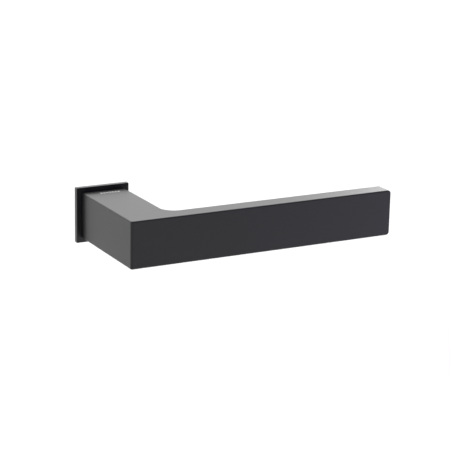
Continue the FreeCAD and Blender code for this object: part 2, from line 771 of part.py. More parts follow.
def return_spring(doc):
    """Torsion spring: a left-hand coil with a radial leg at each end."""
    leg_angle = math.degrees((DIMENSIONS["leg_pin_radius"] + DIMENSIONS["wire_radius"])
                             / DIMENSIONS["leg_pin_circle"])
    turns = 2 + (180 + 2 * leg_angle) / 360
    start = DIMENSIONS["coil_start"]
    coil_end = start + turns * DIMENSIONS["coil_pitch"]
    about_axis = FreeCAD.Rotation(FreeCAD.Vector(0, 1, 0), leg_angle)
    lying = FreeCAD.Rotation(FreeCAD.Vector(1, 0, 0), -90)
    place = FreeCAD.Placement(FreeCAD.Vector(0, start, 0), about_axis.multiply(lying))

    coil = doc.addObject("Part::Helix", "coil_line")
    coil.LocalCoord = "Left-handed"
    coil.SegmentLength = 0.0
    coil.setExpression("Radius", "Dims.coil_radius")
    coil.setExpression("Pitch", "Dims.coil_pitch")
    coil.setExpression("Height", f"{turns} * Dims.coil_pitch")
    coil.Placement = place
    wire = doc.addObject("Part::Circle", "wire_section")
    wire.setExpression("Radius", "Dims.wire_radius")
    across = FreeCAD.Rotation(FreeCAD.Vector(1, 0, 0), 90)
    at_start = FreeCAD.Placement(FreeCAD.Vector(DIMENSIONS["coil_radius"], 0, 0), across)
    wire.Placement = place.multiply(at_start)
    sweep = doc.addObject("Part::Sweep", "coil")
    sweep.Sections = [wire]
    sweep.Spine = (coil, [])
    sweep.Solid = True
    sweep.Frenet = True
    moving = wire_leg(doc, "moving_leg", leg_angle, start)
    fixed = wire_leg(doc, "fixed_leg", 180 - leg_angle, coil_end)
    spring = doc.addObject("Part::MultiFuse", "return_spring")
    spring.Label = "return_spring"
    spring.Shapes = [sweep, moving, fixed]
    return spring


PIECES = (
    rose_cover,
    mounting_plate,
    bearing_bush,
    stop_pins,
    spring_anchor_pin,
    spring_cap,
    cover_magnets,
    door_gasket,
    mounting_screws,
    lever_handle,
    spindle_sleeve,
    sleeve_key_pin,
    grub_screw,
    spindle,
    spindle_leaf_spring,
    spring_driver,
    driver_pin,
    thrust_washer,
    disc_spring,
    retaining_ring,
    return_spring,
)


def check_document(doc, pieces):
    """Stop if any object failed, or any piece is empty or not valid."""
    for item in doc.Objects:
        if "Invalid" in item.State or "Error" in item.State:
            raise RuntimeError(f"{item.Name} failed: {item.State}")
    for piece in pieces:
        shape = piece.Shape
        if shape.isNull() or not shape.isValid() or not shape.Solids:
            raise RuntimeError(f"{piece.Label} has no valid solid")
        print(f"{piece.Label}: {len(shape.Solids)} solid(s), {shape.Volume:.1f} mm3")


def main():
    """Build the document, check it and write one STEP file for each piece."""
    doc = FreeCAD.newDocument("door_lever_handle")
    fill_sheet(doc)
    pieces = [make(doc) for make in PIECES]
    doc.recompute()
    check_document(doc, pieces)
    os.makedirs("parts", exist_ok=True)
    for piece in pieces:
        piece.Shape.exportStep(f"parts/{piece.Label}.step")


main()
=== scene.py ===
"""Door lever handle on a slim square rose, with its finishes and a plain studio.

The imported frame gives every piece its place. This script rebuilds the lever, the rose cover and the
fixing screws as finished meshes, adds an etched mark, and gives every other piece its real finish.
"""

import json
import logging
import math
from dataclasses import dataclass, field
from enum import Enum
from typing import Any, Optional, Sequence

import bmesh
import bpy
from mathutils import Matrix, Vector


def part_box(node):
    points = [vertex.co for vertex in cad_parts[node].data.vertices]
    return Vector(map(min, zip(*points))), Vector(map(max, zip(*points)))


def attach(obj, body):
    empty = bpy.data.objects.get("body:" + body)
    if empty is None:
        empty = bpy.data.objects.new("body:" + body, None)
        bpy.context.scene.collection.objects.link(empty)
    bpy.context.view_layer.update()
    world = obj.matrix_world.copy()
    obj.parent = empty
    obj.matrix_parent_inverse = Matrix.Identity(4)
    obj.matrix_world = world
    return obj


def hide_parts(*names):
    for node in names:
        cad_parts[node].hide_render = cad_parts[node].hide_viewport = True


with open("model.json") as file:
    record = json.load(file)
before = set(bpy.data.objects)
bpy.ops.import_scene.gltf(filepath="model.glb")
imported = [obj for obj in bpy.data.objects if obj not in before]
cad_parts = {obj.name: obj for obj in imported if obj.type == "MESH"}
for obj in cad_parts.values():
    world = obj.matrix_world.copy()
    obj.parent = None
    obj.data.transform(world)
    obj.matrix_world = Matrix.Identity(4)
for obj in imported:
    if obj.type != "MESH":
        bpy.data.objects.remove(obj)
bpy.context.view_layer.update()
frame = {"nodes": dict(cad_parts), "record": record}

LOG = logging.getLogger("door_lever")
MM = 0.001
SOFT_EDGE_ANGLE = math.radians(32)
BEVEL_ANGLE = math.radians(40)
ROUND_SIDES = 72
SMALL_ROUND_SIDES = 40
PIN_SIDES = 32
NEAR = 1e-6
# The slow drift of a finish's colour: its size in grains, and its noise.
DRIFT_GRAINS = 9
DRIFT_NOISE = {"Detail": 2.0, "Roughness": 0.5}
# The fine tooth of a finish, and the open cells of foam.
TOOTH_NOISE = {"Detail": 3.0, "Roughness": 0.55}
FOAM_CELLS = {"Randomness": 0.9}

Socket = bpy.types.NodeSocket
Point = tuple[float, float]


# ---------------------------------------------------------------- helpers


def linear(colour: str) -> tuple[float, float, float, float]:
    """Turn an sRGB hex colour into the linear colour that shaders use.

    Args:
        colour: Six hex digits after a hash sign.

    Returns:
        Red, green, blue and alpha, linear, with alpha 1.
    """
    shares = [int(colour[place : place + 2], 16) / 255 for place in (1, 3, 5)]
    curved = [s / 12.92 if s <= 0.04045 else ((s + 0.055) / 1.055) ** 2.4 for s in shares]
    return (curved[0], curved[1], curved[2], 1.0)


def add_node(
    tree: bpy.types.NodeTree,
    kind: str,
    settings: Optional[dict[Any, Any]] = None,
    links: Optional[dict[Any, Socket]] = None,
) -> bpy.types.Node:
    """Add a node with its settings and its incoming links.

    Args:
        tree: The node tree that gets the node.
        kind: Blender's identifier of the node type.
        settings: Values by property name, or by input name or number.
        links: Sources by input name or number.

    Returns:
        The new node.
    """
    node = tree.nodes.new(kind)
    for key, value in (settings or {}).items():
        if isinstance(key, str) and hasattr(node, key):
            setattr(node, key, value)
        else:
            node.inputs[key].default_value = value
    for key, source in (links or {}).items():
        tree.links.new(source, node.inputs[key])
    return node


def mesh_object(name: str, shape: bmesh.types.BMesh) -> bpy.types.Object:
    """Turn a bmesh into an object at the origin, in the scene.

    Args:
        name: The piece's name.
        shape: The mesh in metres; it is freed.

    Returns:
        The new object.
    """
    bmesh.ops.recalc_face_normals(shape, faces=shape.faces)
    mesh = bpy.data.meshes.new(name)
    shape.to_mesh(mesh)
    shape.free()
    piece = bpy.data.objects.new(name, mesh)
    bpy.context.scene.collection.objects.link(piece)
    return piece


def bake_modifiers(piece: bpy.types.Object) -> None:
    """Replace a piece's mesh with what its modifiers make of it, and remove them.

    Args:
        piece: The piece with its modifiers.
    """
    graph = bpy.context.evaluated_depsgraph_get()
    graph.update()
    made = bpy.data.meshes.new_from_object(piece.evaluated_get(graph), depsgraph=graph)
    made.name = piece.name
    piece.modifiers.clear()
    piece.data = made


def carve(piece: bpy.types.Object, cutters: Sequence[bpy.types.Object]) -> None:
    """Cut closed shapes out of a piece, one after another, and remove them.

    Args:
        piece: The piece to cut.
        cutters: Closed objects whose space is taken away.
    """
    for tool in cutters:
        cut = piece.modifiers.new("carve", "BOOLEAN")
        cut.operation = "DIFFERENCE"
        cut.solver = "EXACT"
        cut.object = tool
    bake_modifiers(piece)
    for tool in cutters:
        bpy.data.objects.remove(tool)


def soften(piece: bpy.types.Object, radius: float, steps: int) -> None:
    """Round every sharp edge of a piece.

    Args:
        piece: The piece, still without its cuts.
        radius: The rounding's radius in millimetres.
        steps: Faces across the rounding.
    """
    edges = piece.modifiers.new("soften", "BEVEL")
    edges.width = radius * MM
    edges.segments = steps
    edges.limit_method = "ANGLE"
    edges.angle_limit = BEVEL_ANGLE
    bake_modifiers(piece)


def shade(piece: bpy.types.Object) -> None:
    """Shade a piece smooth, with flat faces kept flat and true edges kept sharp.

    Args:
        piece: The piece, in its final shape.
    """
    piece.data.polygons.foreach_set("use_smooth", [True] * len(piece.data.polygons))
    piece.data.set_sharp_from_angle(angle=SOFT_EDGE_ANGLE)
    weigh = piece.modifiers.new("weigh", "WEIGHTED_NORMAL")
    weigh.mode = "FACE_AREA"
    weigh.weight = 100
    weigh.keep_sharp = True
    bake_modifiers(piece)


def rounded(corners: Sequence[tuple[float, float, float, int]]) -> list[Point]:
    """Round the corners of a closed outline with arcs.

    Args:
        corners: Each corner's two places, its radius and its number of steps; radius 0 stays sharp.

    Returns:
        The outline's points in order.
    """
    points: list[Point] = []
    count = len(corners)
    for place, (x, y, radius, steps) in enumerate(corners):
        here = Vector((x, y))
        if radius == 0:
            points.append((x, y))
            continue
        before = (Vector(corners[place - 1][:2]) - here).normalized()
        after = (Vector(corners[(place + 1) % count][:2]) - here).normalized()
        half = before.angle(after) / 2
        centre = here + (before + after).normalized() * radius / math.sin(half)
        first = here + before * radius / math.tan(half) - centre
        last = here + after * radius / math.tan(half) - centre
        sweep = math.atan2(first.x * last.y - first.y * last.x, first.dot(last))
        for step in range(steps + 1):
            turn = Matrix.Rotation(sweep * step / steps, 2)
            spot = centre + turn @ first
            points.append((spot.x, spot.y))
    return points


def prism(name: str, outline: Sequence[Point], axis: str, start: float, end: float) -> bpy.types.Object:
    """Raise an outline into a closed solid along an axis.

    Args:
        name: The object's name.
        outline: Points in the plane of the other two axes, in X, Y, Z order.
        axis: "X", "Y" or "Z".
        start: Where the solid starts along the axis.
        end: Where it ends.

    Returns:
        The new object.
    """
    slot = "XYZ".index(axis)
    shape = bmesh.new()
    rings = []
    for level in (start, end):
        ring = []
        for point in outline:
            place = list(point)
            place.insert(slot, level)
            ring.append(shape.verts.new(place))
        rings.append(ring)
    count = len(outline)
    for step in range(count):
        following = (step + 1) % count
        shape.faces.new((rings[0][step], rings[0][following], rings[1][following], rings[1][step]))
    shape.faces.new(rings[0])
    shape.faces.new(rings[1])
    return mesh_object(name, shape)


def round_short_edges(piece: bpy.types.Object, tip: float, radius: float, steps: int) -> None:
    """Round the edges that run from front to back at a bar's tip.

    Args:
        piece: The piece, still without other rounding.
        tip: Where the tip's face lies along X.
        radius: The rounding's radius.
        steps: Faces across the rounding.
    """
    shape = bmesh.new()
    shape.from_mesh(piece.data)
    short = []
    for edge in shape.edges:
        first, last = (vert.co for vert in edge.verts)
        at_tip = min(first.x, last.x) > tip - NEAR
        if at_tip and abs(first.z - last.z) < NEAR:
            short.append(edge)
    bmesh.ops.bevel(
        shape,
        geom=short,
        offset=radius,
        segments=steps,
        profile=0.5,
        affect="EDGES",
        offset_type="OFFSET",
    )
    shape.to_mesh(piece.data)
    shape.free()


def ring_points(radius: float, sides: int, centre: Point = (0.0, 0.0)) -> list[Point]:
    """Give evenly spaced points on a circle.

    Args:
        radius: The circle's radius.
        sides: How many points.
        centre: The circle's centre.

    Returns:
        The points in order.
    """
    turns = [2 * math.pi * (step + 0.5) / sides for step in range(sides)]
    return [(centre[0] + radius * math.cos(a), centre[1] + radius * math.sin(a)) for a in turns]


def square_points(half: float) -> list[Point]:
    """Give the corners of a square about the spindle's axis."""
    return [(-half, -half), (half, -half), (half, half), (-half, half)]


# ---------------------------------------------------------------- finishes


class Slot(Enum):
    """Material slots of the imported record."""

    BLACK_COAT = "black_coat"
    CAST_ZINC = "cast_zinc"
    ACETAL = "black_acetal"
    FOAM = "foam_seal"
    NICKEL = "nickel_plate"
    ZINC_PLATE = "zinc_plated_steel"
    TURNED = "turned_steel"
    BLACKENED = "blackened_steel"
    SPRING = "spring_steel"


class Grain(Enum):
    """How a surface was made, which sets the direction and kind of its texture."""

    SPRAYED = "sprayed"
    CAST = "cast"
    TURNED = "turned"
    DRAWN = "drawn"
    FOAMED = "foamed"
    MOULDED = "moulded"


@dataclass(frozen=True)
class Finish:
    """One real finish: its colours, its shader values and the texture that its making leaves.

    Attributes:
        name: The finish's common name, which becomes the material's.
        slot: The record's slot that it stands for.
        colour: Main colour, sRGB hex.
        second: The tone that the grain drifts to, sRGB hex.
        metallic: 1 for bare metal, 0 for paint and plastic.
        roughness: Roughness at the grain's middle.
        swing: How far the grain moves the roughness either way.
        grain: How the surface was made.
        grain_mm: Size of the grain across.
        relief_mm: Height of the grain.
        ior: Index of refraction of a coat or plastic; metals keep the default.
    """

    name: str
    slot: Slot
    colour: str
    second: str
    metallic: float
    roughness: float
    swing: float
    grain: Grain
    grain_mm: float
    relief_mm: float
    ior: float = 1.5

    def _place(self, tree: bpy.types.NodeTree) -> Socket:
        """Give the place on the object in millimetres, stretched along the way it was made.

        Args:
            tree: The material's node tree.

        Returns:
            The stretched place.
        """
        stretch = {Grain.DRAWN: (1.0, 0.02, 1.0), Grain.TURNED: (0.06, 1.0, 0.06)}
        scale = [1 / MM * share for share in stretch.get(self.grain, (1.0, 1.0, 1.0))]
        spot = add_node(tree, "ShaderNodeTexCoord")
        mapping = add_node(tree, "ShaderNodeMapping", {"Scale": scale}, {"Vector": spot.outputs["Object"]})
        return mapping.outputs["Vector"]

    def _grain(self, tree: bpy.types.NodeTree) -> tuple[Socket, Socket]:
        """Draw the grain.

        Args:
            tree: The material's node tree.

        Returns:
            The wide drift and the fine relief, each about 0 to 1.
        """
        place = self._place(tree)
        drift = {"Scale": 1 / (self.grain_mm * DRIFT_GRAINS), **DRIFT_NOISE}
        wide = add_node(tree, "ShaderNodeTexNoise", drift, {"Vector": place}).outputs[0]
        if self.grain is Grain.FOAMED:
            cells = {"Scale": 1 / self.grain_mm, **FOAM_CELLS}
            fine = add_node(tree, "ShaderNodeTexVoronoi", cells, {"Vector": place}).outputs["Distance"]
        else:
            tooth = {"Scale": 1 / self.grain_mm, **TOOTH_NOISE}
            fine = add_node(tree, "ShaderNodeTexNoise", tooth, {"Vector": place}).outputs[0]
        return wide, fine

    def material(self) -> bpy.types.Material:
        """Build the finish as a material.

        Returns:
            The material, with its grain in colour, roughness and relief.
        """
        made = bpy.data.materials.new(self.name)
        made.use_nodes = True
        tree = made.node_tree
        tree.nodes.clear()
        wide, fine = self._grain(tree)
        tone = add_node(
            tree,
            "ShaderNodeMix",
            {"data_type": "RGBA", 6: linear(self.colour), 7: linear(self.second)},
            {0: wide},
        )
        limits = {"To Min": self.roughness - self.swing, "To Max": self.roughness + self.swing}
        rough = add_node(tree, "ShaderNodeMapRange", limits, {"Value": fine})
        relief = add_node(
            tree,
            "ShaderNodeBump",
            {"Strength": 1.0, "Distance": self.relief_mm * MM},
            {"Height": fine},
        )
        surface = add_node(
            tree,
            "ShaderNodeBsdfPrincipled",
            {"Metallic": self.metallic, "IOR": self.ior},
            {
                "Base Color": tone.outputs[2],
                "Roughness": rough.outputs[0],
                "Normal": relief.outputs[0],
            },
        )
        add_node(tree, "ShaderNodeOutputMaterial", links={"Surface": surface.outputs[0]})
        return made


# Polyester powder coat, sprayed and baked: near black, satin, with a very fine even tooth that
# spreads reflections softly, so faces seen at a low angle turn pale grey.
POWDER_COAT = Finish(
    name="satin_black_powder_coat",
    slot=Slot.BLACK_COAT,
    colour="#1F1F20",
    second="#222223",
    metallic=0.0,
    roughness=0.36,
    swing=0.025,
    grain=Grain.SPRAYED,
    grain_mm=0.22,
    relief_mm=0.0016,
)
# Zinc die casting, tumbled: light blue-grey with a slightly cloudy, dull skin.
DIE_CAST_ZINC = Finish(
    name="tumbled_zinc_casting",
    slot=Slot.CAST_ZINC,
    colour="#A5A8AC",
    second="#8D9196",
    metallic=1.0,
    roughness=0.46,
    swing=0.07,
    grain=Grain.CAST,
    grain_mm=0.35,
    relief_mm=0.006,
)
# Acetal, injection moulded in black: waxy, low sheen.
BLACK_ACETAL = Finish(
    name="moulded_black_acetal",
    slot=Slot.ACETAL,
    colour="#161617",
    second="#1B1B1C",
    metallic=0.0,
    roughness=0.42,
    swing=0.04,
    grain=Grain.MOULDED,
    grain_mm=0.4,
    relief_mm=0.003,
    ior=1.48,
)
# Closed-cell foam: dead matt, with open bubbles where it was skived.
SEAL_FOAM = Finish(
    name="closed_cell_foam",
    slot=Slot.FOAM,
    colour="#2A2A2B",
    second="#1E1E1F",
    metallic=0.0,
    roughness=0.88,
    swing=0.08,
    grain=Grain.FOAMED,
    grain_mm=0.45,
    relief_mm=0.05,
    ior=1.45,
)
# Nickel plate on a sintered magnet: warm, bright mirror with a faint orange-peel.
NICKEL_PLATE = Finish(
    name="bright_nickel_plate",
    slot=Slot.NICKEL,
    colour="#C9C2B4",
    second="#BBB4A7",
    metallic=1.0,
    roughness=0.14,
    swing=0.04,
    grain=Grain.MOULDED,
    grain_mm=0.3,
    relief_mm=0.001,
)
# Cold-drawn steel, zinc plated and passivated blue: long fine lines and a cool silver sheen.
ZINC_PLATE = Finish(
    name="zinc_plated_drawn_steel",
    slot=Slot.ZINC_PLATE,
    colour="#BFC4CB",
    second="#A9AFB8",
    metallic=1.0,
    roughness=0.29,
    swing=0.08,
    grain=Grain.DRAWN,
    grain_mm=0.12,
    relief_mm=0.002,
)
# Free-cutting steel straight from the lathe: fine rings round the axis, oily grey.
TURNED_STEEL = Finish(
    name="lathe_turned_steel",
    slot=Slot.TURNED,
    colour="#A09D98",
    second="#8B8883",
    metallic=1.0,
    roughness=0.3,
    swing=0.09,
    grain=Grain.TURNED,
    grain_mm=0.1,
    relief_mm=0.003,
)
# Hardened steel, phosphated and oiled: soot black with a dull metallic glint.
BLACKENED_STEEL = Finish(
    name="phosphated_steel",
    slot=Slot.BLACKENED,
    colour="#3A3B3D",
    second="#2C2D2F",
    metallic=0.85,
    roughness=0.44,
    swing=0.08,
    grain=Grain.CAST,
    grain_mm=0.15,
    relief_mm=0.002,
)
# Patented spring wire and strip: smooth, straw-grey, bright along the drawing lines.
SPRING_STEEL = Finish(
    name="drawn_spring_steel",
    slot=Slot.SPRING,
    colour="#8A8781",
    second="#77746E",
    metallic=1.0,
    roughness=0.25,
    swing=0.06,
    grain=Grain.DRAWN,
    grain_mm=0.1,
    relief_mm=0.001,
)
# Laser-etched coat: a pale, dry grey line where the beam has bleached the black.
LASER_ETCH = Finish(
    name="laser_etched_coat",
    slot=Slot.BLACK_COAT,
    colour="#C6C6C2",
    second="#B4B4B0",
    metallic=0.0,
    roughness=0.6,
    swing=0.08,
    grain=Grain.SPRAYED,
    grain_mm=0.15,
    relief_mm=0.001,
)

FINISHES = (
    POWDER_COAT,
    DIE_CAST_ZINC,
    BLACK_ACETAL,
    SEAL_FOAM,
    NICKEL_PLATE,
    ZINC_PLATE,
    TURNED_STEEL,
    BLACKENED_STEEL,
    SPRING_STEEL,
)


@dataclass
class Paintbox:
    """Builds each finish once and hands it out."""

    made: dict[str, bpy.types.Material] = field(default_factory=dict)

    def get(self, finish: Finish) -> bpy.types.Material:
        """Give a finish's material, built on first use.

        Args:
            finish: The finish wanted.

        Returns:
            Its material.
        """
        if finish.name not in self.made:
            self.made[finish.name] = finish.material()
        return self.made[finish.name]

    def dress(self, piece: bpy.types.Object, finish: Finish) -> None:
        """Give a piece one finish and no other."""
        piece.data.materials.clear()
        piece.data.materials.append(self.get(finish))


def settle(piece: bpy.types.Object, body: str, finish: Finish, replaces: Sequence[str] = ()) -> None:
    """Tie a finished piece to its body, hide the nodes that it stands for, and log it.

    Args:
        piece: The piece, in place.
        body: The body that it rides on.
        finish: Its finish, whose name goes in the log.
        replaces: Nodes of the frame that it stands for.
    """
    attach(piece, body)
    if replaces:
        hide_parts(*replaces)
    LOG.info("%s: %d faces, %s, rides on %s", piece.name, len(piece.data.polygons), finish.name, body)


# ---------------------------------------------------------------- sub-assemblies


@dataclass
class LeverHandle:
    """Square neck and flat bar, one casting; sizes in millimetres beyond what the frame gives."""

    neck_width: float = 24.5
    bar_thickness: float = 10.5
    inner_radius: float = 7.5
    front_corner_radius: float = 1.2
    tip_radius: float = 1.9
    edge_radius: float = 0.7
    edge_steps: int = 5
    sleeve_bore: float = 8.53
    sleeve_depth: float = 35.0
    key_radius: float = 1.25
    key_distance: float = 8.5
    key_depth: float = 8.2
    grub_radius: float = 3.05
    grub_distance: float = 16.0
    grub_depth: float = 5.5
    corner_steps: int = 6
    bend_steps: int = 20
    tip_steps: int = 8
    body: str = "lever"

    def build(self) -> bpy.types.Object:
        """Build the casting with its bore, its key slot and its screw hole.

        Returns:
            The lever's mesh object.
        """
        low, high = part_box("lever_handle")
        side = self.neck_width / 2 * MM
        back = low.y + self.bar_thickness * MM
        corners = [
            (-side, high.y, 0.0, 0),
            (-side, low.y, self.front_corner_radius * MM, self.corner_steps),
            (high.x, low.y, 0.0, 0),
            (high.x, back, 0.0, 0),
            (side, back, self.inner_radius * MM, self.bend_steps),
            (side, high.y, 0.0, 0),
        ]
        lever = prism("lever_handle_cast", rounded(corners), "Z", low.z, high.z)
        round_short_edges(lever, high.x, self.tip_radius * MM, self.tip_steps)
        soften(lever, self.edge_radius, self.edge_steps)
        past_back = high.y + MM
        bore_ring = ring_points(self.sleeve_bore * MM, ROUND_SIDES)
        bore = prism("bore", bore_ring, "Y", high.y - self.sleeve_depth * MM, past_back)
        key_ring = ring_points(self.key_radius * MM, PIN_SIDES, (0.0, self.key_distance * MM))
        key_slot = prism("key_slot", key_ring, "Y", high.y - self.key_depth * MM, past_back)
        hole_ring = ring_points(self.grub_radius * MM, SMALL_ROUND_SIDES, (0.0, -self.grub_distance * MM))
        hole = prism("hole", hole_ring, "Z", low.z - MM, low.z + self.grub_depth * MM)
        carve(lever, [bore, key_slot, hole])
        shade(lever)
        return lever

    def dress(self, paints: Paintbox) -> None:
        """Build the lever, coat it and tie it to its body.

        Args:
            paints: Gives the lever's coat.
        """
        lever = self.build()
        paints.dress(lever, POWDER_COAT)
        settle(lever, self.body, POWDER_COAT, ["lever_handle"])


@dataclass
class RoseCover:
    """Pressed square cap with a soft outer edge and a round hole; sizes in millimetres."""

    wall: float = 1.0
    edge_radius: float = 0.3
    edge_steps: int = 3
    hole_radius: float = 8.6
    body: str = "rose"

    def build(self) -> bpy.types.Object:
        """Build the cap as a thin shell.

        Returns:
            The cover's mesh object.
        """
        low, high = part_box("rose_cover")
        half = high.x
        cover = prism("rose_cover_pressed", square_points(half), "Y", low.y, high.y)
        soften(cover, self.edge_radius, self.edge_steps)
        wall = self.wall * MM
        inside = prism("inside", square_points(half - wall), "Y", low.y + wall, high.y + MM)
        hole_ring = ring_points(self.hole_radius * MM, ROUND_SIDES)
        hole = prism("hole", hole_ring, "Y", low.y - MM, high.y + MM)
        carve(cover, [inside, hole])
        shade(cover)
        return cover

    def dress(self, paints: Paintbox) -> None:
        """Build the cover, coat it and tie it to its body.

        Args:
            paints: Gives the cover's coat.
        """
        cover = self.build()
        paints.dress(cover, POWDER_COAT)
        settle(cover, self.body, POWDER_COAT, ["rose_cover"])


@dataclass
class NodeTool:
    """A geometry node tree in the making, with named size inputs and one material."""

    name: str
    sizes: dict[str, float]
    tree: bpy.types.NodeTree = field(init=False)
    source: bpy.types.Node = field(init=False)

    def __post_init__(self) -> None:
        """Start the tree with its inputs and its output."""
        self.tree = bpy.data.node_groups.new(self.name, "GeometryNodeTree")
        interface = self.tree.interface
        interface.new_socket(name="Geometry", in_out="INPUT", socket_type="NodeSocketGeometry")
        for size in self.sizes:
            interface.new_socket(name=size, in_out="INPUT", socket_type="NodeSocketFloat")
        interface.new_socket(name="Geometry", in_out="OUTPUT", socket_type="NodeSocketGeometry")
        self.source = add_node(self.tree, "NodeGroupInput")

    def size(self, name: str) -> Socket:
        """Give the socket of a named size."""
        return self.source.outputs[name]

    def math(self, operation: str, first: Any, second: Any) -> Socket:
        """Work out one value from two, each a socket or a number.

        Args:
            operation: Blender's name of the sum.
            first: The first value.
            second: The second value.

        Returns:
            The result's socket.
        """
        links = {place: v for place, v in enumerate((first, second)) if isinstance(v, Socket)}
        fixed = {place: v for place, v in enumerate((first, second)) if not isinstance(v, Socket)}
        settings = {"operation": operation, **fixed}
        return add_node(self.tree, "ShaderNodeMath", settings, links).outputs[0]

    def finish(self, geometry: Socket, material: bpy.types.Material) -> bpy.types.Object:
        """Close the tree and turn what it makes into a plain mesh object.

        Args:
            geometry: What the tree has made.
            material: The piece's only material.

        Returns:
            The finished object.
        """
        real = add_node(self.tree, "GeometryNodeRealizeInstances", links={0: geometry})
        coated = add_node(
            self.tree, "GeometryNodeSetMaterial", {"Material": material}, {"Geometry": real.outputs[0]}
        )
        add_node(self.tree, "NodeGroupOutput", links={0: coated.outputs[0]})
        piece = mesh_object(self.name, bmesh.new())
        modifier = piece.modifiers.new("grow", "NODES")
        modifier.node_group = self.tree
        for item in self.tree.interface.items_tree:
            if item.in_out == "INPUT" and item.name in self.sizes:
                modifier[item.identifier] = self.sizes[item.name]
        bake_modifiers(piece)
        piece.data.materials.clear()
        piece.data.materials.append(material)
        return piece


@dataclass
class FixingScrews:
    """Two countersunk wood screws with a rolled thread; sizes in millimetres."""

    offset: float = 9.8
    head_radius: float = 2.75
    shank_radius: float = 1.1
    core_radius: float = 1.08
    thread_start: float = 0.3
    point_length: float = 3.0
    rim_width: float = 0.1
    rim_depth: float = 0.08
    run_out: float = 0.3
    point_shoulder: float = 0.9
    shoulder_share: float = 0.45
    pitch: float = 1.2
    ridge: float = 0.42
    recess_reach: float = 1.5
    recess_half: float = 0.35
    recess_depth: float = 1.0
    thread_reach: float = 0.86
    thread_end_share: float = 0.12
    turn_steps: int = 28
    ridge_corners: int = 3
    body: str = "rose"

    def _blank(self, sign: int) -> bpy.types.Object:
        """Turn one screw without its thread, and press its cross recess.

        Args:
            sign: 1 for the upper right screw, -1 for the lower left one.

        Returns:
            The screw's mesh object.
        """
        low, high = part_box("mounting_screws")
        slope = self.head_radius - self.shank_radius
        top, end = low.y / MM, high.y / MM
        profile = [
            (0.0, top),
            (self.head_radius - self.rim_width, top),
            (self.head_radius, top + self.rim_depth),
            (self.shank_radius, top + slope),
            (self.shank_radius, self.thread_start),
            (self.core_radius, self.thread_start + self.run_out),
            (self.core_radius, end - self.point_length + self.run_out),
            (self.core_radius * self.shoulder_share, end - self.point_shoulder),
            (0.0, end),
        ]
        centre = Vector((self.offset * sign * MM, 0, self.offset * sign * MM))
        shape = bmesh.new()
        verts = [shape.verts.new(centre + Vector((r * MM, y * MM, 0))) for r, y in profile]
        edges = [shape.edges.new(pair) for pair in zip(verts, verts[1:])]
        bmesh.ops.spin(
            shape,
            geom=verts + edges,
            cent=centre,
            axis=(0, 1, 0),
            angle=2 * math.pi,
            steps=SMALL_ROUND_SIDES,
            use_merge=True,
        )
        bmesh.ops.remove_doubles(shape, verts=shape.verts, dist=NEAR)
        screw = mesh_object("screw_blank", shape)
        recess = []
        for across, along in ((self.recess_reach, self.recess_half), (self.recess_half, self.recess_reach)):
            spots = [(-across, -along), (across, -along), (across, along), (-across, along)]
            moved = [(centre.x + x * MM, centre.z + z * MM) for x, z in spots]
            recess.append(prism("recess", moved, "Y", low.y - MM, low.y + self.recess_depth * MM))
        carve(screw, recess)
        return screw

    def _thread(self, paints: Paintbox) -> bpy.types.Object:
        """Wind the ridge round both screws, straight along the shank and closing in on the point.

        Args:
            paints: Gives the thread's material.

        Returns:
            Both threads as one mesh object.
        """
        low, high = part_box("mounting_screws")
        point_start = high.y / MM - self.point_length
        start = self.thread_start + self.ridge
        sizes = {
            "Run length": (point_start - start) * MM,
            "Point length": self.point_length * self.thread_reach * MM,
            "Pitch": self.pitch * MM,
            "Ridge radius": self.ridge * MM,
            "Core radius": self.core_radius * MM,
        }
        tool = NodeTool("screw_threads", sizes)
        profile = add_node(
            tool.tree,
            "GeometryNodeCurvePrimitiveCircle",
            {"mode": "RADIUS", "Resolution": self.ridge_corners},
            {"Radius": tool.size("Ridge radius")},
        )
        coils = []
        for length, end_share in (("Run length", 1.0), ("Point length", self.thread_end_share)):
            turns = tool.math("DIVIDE", tool.size(length), tool.size("Pitch"))
            end = tool.math("MULTIPLY", tool.size("Core radius"), end_share)
            coils.append(
                add_node(
                    tool.tree,
                    "GeometryNodeCurveSpiral",
                    {"Resolution": self.turn_steps},
                    {
                        "Rotations": turns,
                        "Start Radius": tool.size("Core radius"),
                        "End Radius": end,
                        "Height": tool.size(length),
                    },
                )
            )
        turned = 2 * math.pi * ((point_start - start) / self.pitch % 1)
        move = add_node(
            tool.tree,
            "GeometryNodeTransform",
            {"Rotation": (0.0, 0.0, turned), "Translation": (0.0, 0.0, (point_start - start) * MM)},
            {"Geometry": coils[1].outputs[0]},
        )
        both = add_node(tool.tree, "GeometryNodeJoinGeometry")
        for source in (coils[0].outputs[0], move.outputs[0]):
            tool.tree.links.new(source, both.inputs[0])
        ridge = add_node(
            tool.tree,
            "GeometryNodeCurveToMesh",
            {"Fill Caps": True},
            {"Curve": both.outputs[0], "Profile Curve": profile.outputs[0]},
        )
        lying = add_node(
            tool.tree,
            "GeometryNodeTransform",
            {"Rotation": (-math.pi / 2, 0.0, 0.0)},
            {"Geometry": ridge.outputs[0]},
        )
        corner = Vector((self.offset, 0, self.offset)) * MM
        spots = add_node(
            tool.tree,
            "GeometryNodeMeshLine",
            {"Count": 2, "Start Location": corner + Vector((0, start * MM, 0)), "Offset": -2 * corner},
        )
        copies = add_node(
            tool.tree,
            "GeometryNodeInstanceOnPoints",
            links={"Points": spots.outputs[0], "Instance": lying.outputs[0]},
        )
        return tool.finish(copies.outputs[0], paints.get(ZINC_PLATE))

    def dress(self, paints: Paintbox) -> None:
        """Build both screws with their threads as one piece, plate it and tie it to its body.

        Args:
            paints: Gives the plating.
        """
        parts = [self._blank(1), self._blank(-1), self._thread(paints)]
        shape = bmesh.new()
        for part in parts:
            shape.from_mesh(part.data)
            bpy.data.objects.remove(part)
        screws = mesh_object("fixing_screws", shape)
        shade(screws)
        paints.dress(screws, ZINC_PLATE)
        settle(screws, self.body, ZINC_PLATE, ["mounting_screws"])


